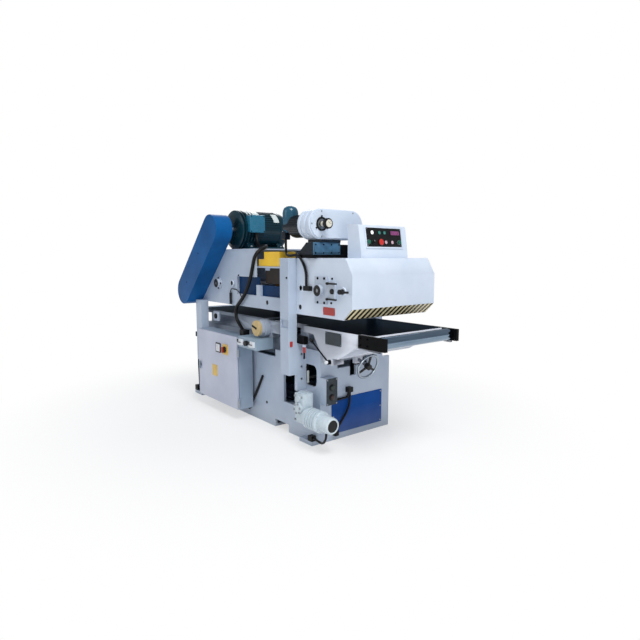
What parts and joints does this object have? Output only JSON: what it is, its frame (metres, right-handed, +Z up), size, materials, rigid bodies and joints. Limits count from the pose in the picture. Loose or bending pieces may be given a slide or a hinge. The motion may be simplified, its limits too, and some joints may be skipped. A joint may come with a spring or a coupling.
{
  "type": "double-sided planer",
  "caption": "Double-sided planer with upper and lower cutterheads, a lifting bed, chain-driven feed rollers, an inclined belt guard, a console and an electrical cabinet.",
  "frame": {"origin": "on the floor, in the middle of the four anchor holes", "axes": "+X along the feed towards the infeed end, +Y away from the operator's side, +Z up"},
  "size_m": [2.536, 1.0095, 1.707],
  "materials": {
    "grey_paint": "satin",
    "white_paint": "satin",
    "blue_paint": "satin",
    "deep_blue_paint": "satin",
    "yellow_paint": "satin",
    "teal_paint": "satin",
    "black_paint": "satin",
    "stripe_paint": "satin",
    "cast_grey": "painted, ground on top",
    "steel": "machined",
    "chrome": "polished",
    "bronze": "machined",
    "belt_rubber": "matte",
    "black_plastic": "matte",
    "green_plastic": "gloss",
    "red_plastic": "gloss"
  },
  "bodies": {
    "machine_frame": {"base_frame": "grey_paint", "infeed_pedestal": "grey_paint", "columns": "grey_paint", "guide_blocks": "grey_paint", "infeed_side_plates": "grey_paint", "outfeed_side_plates": "grey_paint", "blue_panels": "deep_blue_paint", "infeed_hood": "white_paint", "stripe_lip": "stripe_paint", "head_deck": "grey_paint", "pressure_frame": "grey_paint", "pressure_hood": "yellow_paint", "cutter_motor": "teal_paint", "upper_belts": "belt_rubber", "belt_guard": "blue_paint", "head_bearings": "cast_grey", "drive_chains": "steel", "feed_gearbox": "white_paint", "variator_case": "white_paint", "feed_motor": "teal_paint", "console": "white_paint", "console_panel": "black_plastic", "lift_gearmotor": "grey_paint", "cabinet_body": "grey_paint", "switch_station": "grey_paint", "conduits": "black_plastic"},
    "bed": {"bed_saddle": "cast_grey", "outfeed_table": "cast_grey", "lower_bearings": "cast_grey", "lower_motor": "teal_paint", "lower_belts": "belt_rubber", "lower_belt_guard": "blue_paint", "clamp_box": "grey_paint", "lift_nuts": "bronze"},
    "table": {"infeed_table": "cast_grey", "roller_arms": "black_paint"},
    "upper_cutterhead_body": {"upper_cutterhead": "steel"},
    "lower_cutterhead_body": {"lower_cutterhead": "steel"},
    "upper_rotor_body": {"upper_rotor": "steel"},
    "infeed_drive_shaft_body": {"infeed_drive_shaft": "steel"},
    "outfeed_drive_shaft_body": {"outfeed_drive_shaft": "steel"},
    "infeed_feed_roller_body": {"infeed_feed_roller": "steel"},
    "outfeed_feed_roller_body": {"outfeed_feed_roller": "steel"},
    "variator_knob_body": {"variator_knob": "black_plastic"},
    "start_button_body": {"start_button": "green_plastic"},
    "reset_button_body": {"reset_button": "green_plastic"},
    "stop_button_body": {"stop_button": "red_plastic"},
    "mode_selector_body": {"mode_selector": "black_plastic"},
    "outfeed_bed_roller_body": {"outfeed_bed_roller": "chrome"},
    "end_roller_body": {"end_roller": "chrome"},
    "handwheel_body": {"handwheel": "chrome"},
    "lock_lever_body": {"lock_lever": "steel"},
    "outfeed_lift_screw_body": {"outfeed_lift_screw": "steel"},
    "infeed_lift_screw_body": {"infeed_lift_screw": "steel"},
    "lower_rotor_body": {"lower_rotor": "steel"},
    "cabinet_door_body": {"cabinet_door": "grey_paint"},
    "main_switch_body": {"main_switch": "red_plastic"},
    "door_latch_body": {"door_latch": "chrome"},
    "lower_button_body": {"lower_button": "red_plastic"},
    "raise_button_body": {"raise_button": "green_plastic"}
  },
  "joints": [
    {"name": "bed_lift", "type": "slide", "parent": "machine_frame", "child": "bed", "axis": [0, 0, 1], "range_m": [-0.125, 0.065]},
    {"name": "infeed_table_slide", "type": "slide", "parent": "bed", "child": "table", "axis": [0.9397, 0, -0.342], "range_m": [-0.006, 0.018]},
    {"name": "handwheel_turn", "type": "hinge", "parent": "bed", "child": "handwheel_body", "pos_m": [1.088, 0, 0.545], "axis": [0.9397, 0, -0.342], "range_deg": [-440, 1300]},
    {"name": "end_roller_spin", "type": "hinge", "parent": "table", "child": "end_roller_body", "pos_m": [1.52, 0, 0.797], "axis": [0, 1, 0], "continuous": true},
    {"name": "lower_cutter_spin", "type": "hinge", "parent": "bed", "child": "lower_cutterhead_body", "pos_m": [0.33, 0, 0.775], "axis": [0, 1, 0], "continuous": true},
    {"name": "lower_rotor_spin", "type": "hinge", "parent": "bed", "child": "lower_rotor_body", "pos_m": [0.33, 0, 0.4], "axis": [0, 1, 0], "continuous": true},
    {"name": "outfeed_bed_roller_spin", "type": "hinge", "parent": "bed", "child": "outfeed_bed_roller_body", "pos_m": [-0.885, 0, 0.8115], "axis": [0, 1, 0], "continuous": true},
    {"name": "outfeed_screw_turn", "type": "hinge", "parent": "machine_frame", "child": "outfeed_lift_screw_body", "pos_m": [-0.6, 0, 0], "axis": [0, 0, 1], "range_deg": [-7510, 3910]},
    {"name": "infeed_screw_turn", "type": "hinge", "parent": "machine_frame", "child": "infeed_lift_screw_body", "pos_m": [0.7, 0, 0], "axis": [0, 0, 1], "range_deg": [-7510, 3910]},
    {"name": "upper_cutter_spin", "type": "hinge", "parent": "machine_frame", "child": "upper_cutterhead_body", "pos_m": [-0.785, 0, 0.975], "axis": [0, 1, 0], "continuous": true},
    {"name": "upper_rotor_spin", "type": "hinge", "parent": "machine_frame", "child": "upper_rotor_body", "pos_m": [-0.24, 0, 1.545], "axis": [0, 1, 0], "continuous": true},
    {"name": "infeed_roller_spin", "type": "hinge", "parent": "machine_frame", "child": "infeed_feed_roller_body", "pos_m": [1.04, 0, 0.953], "axis": [0, 1, 0], "continuous": true},
    {"name": "outfeed_roller_spin", "type": "hinge", "parent": "machine_frame", "child": "outfeed_feed_roller_body", "pos_m": [-0.897, 0, 0.953], "axis": [0, 1, 0], "continuous": true},
    {"name": "infeed_shaft_spin", "type": "hinge", "parent": "machine_frame", "child": "infeed_drive_shaft_body", "pos_m": [1.04, 0, 1.098], "axis": [0, 1, 0], "continuous": true},
    {"name": "outfeed_shaft_spin", "type": "hinge", "parent": "machine_frame", "child": "outfeed_drive_shaft_body", "pos_m": [-0.36, 0, 1.092], "axis": [0, 1, 0], "continuous": true},
    {"name": "variator_knob_turn", "type": "hinge", "parent": "machine_frame", "child": "variator_knob_body", "pos_m": [0.96, -0.32, 1.535], "axis": [1, 0, 0], "range_deg": [-540, 540]},
    {"name": "lock_lever_turn", "type": "hinge", "parent": "table", "child": "lock_lever_body", "pos_m": [1.085, -0.366, 0.622], "axis": [0, 1, 0], "range_deg": [-20, 15]},
    {"name": "cabinet_door_swing", "type": "hinge", "parent": "machine_frame", "child": "cabinet_door_body", "pos_m": [0.126, -0.497, 0.349], "axis": [0, 0, 1], "range_deg": [0, 105]},
    {"name": "main_switch_turn", "type": "hinge", "parent": "cabinet_door_body", "child": "main_switch_body", "pos_m": [-0.068, -0.513, 0.561], "axis": [0, 1, 0], "range_deg": [0, 90]},
    {"name": "door_latch_turn", "type": "hinge", "parent": "cabinet_door_body", "child": "door_latch_body", "pos_m": [-0.531, -0.505, 0.363], "axis": [0, 1, 0], "range_deg": [0, 90]},
    {"name": "start_press", "type": "slide", "parent": "machine_frame", "child": "start_button_body", "axis": [-0.9872, 0, -0.1596], "range_m": [0, 0.004], "stiffness_N_per_m": 600, "springref_m": -0.001},
    {"name": "reset_press", "type": "slide", "parent": "machine_frame", "child": "reset_button_body", "axis": [-0.9872, 0, -0.1596], "range_m": [0, 0.004], "stiffness_N_per_m": 600, "springref_m": -0.001},
    {"name": "stop_press", "type": "slide", "parent": "machine_frame", "child": "stop_button_body", "axis": [-0.9872, 0, -0.1596], "range_m": [0, 0.004], "stiffness_N_per_m": 900, "springref_m": -0.001},
    {"name": "mode_selector_turn", "type": "hinge", "parent": "machine_frame", "child": "mode_selector_body", "pos_m": [1.2291, -0.108, 1.41241], "axis": [0.9872, 0, 0.1596], "range_deg": [-45, 45]},
    {"name": "raise_press", "type": "slide", "parent": "machine_frame", "child": "raise_button_body", "axis": [-1, 0, 0], "range_m": [0, 0.004], "stiffness_N_per_m": 600, "springref_m": -0.001},
    {"name": "lower_press", "type": "slide", "parent": "machine_frame", "child": "lower_button_body", "axis": [-1, 0, 0], "range_m": [0, 0.004], "stiffness_N_per_m": 600, "springref_m": -0.001}
  ],
  "couplings": [
    {"joint": "handwheel_turn", "follows": "infeed_table_slide", "rad_per_m": 1256.6},
    {"joint": "outfeed_screw_turn", "follows": "bed_lift", "rad_per_m": 1047.2},
    {"joint": "infeed_screw_turn", "follows": "bed_lift", "rad_per_m": 1047.2},
    {"joint": "lower_rotor_spin", "follows": "lower_cutter_spin", "ratio": 0.64103},
    {"joint": "upper_rotor_spin", "follows": "upper_cutter_spin", "ratio": 0.62105},
    {"joint": "outfeed_roller_spin", "follows": "infeed_roller_spin", "ratio": 1},
    {"joint": "infeed_shaft_spin", "follows": "infeed_roller_spin", "ratio": 1},
    {"joint": "outfeed_shaft_spin", "follows": "infeed_roller_spin", "ratio": 1}
  ]
}
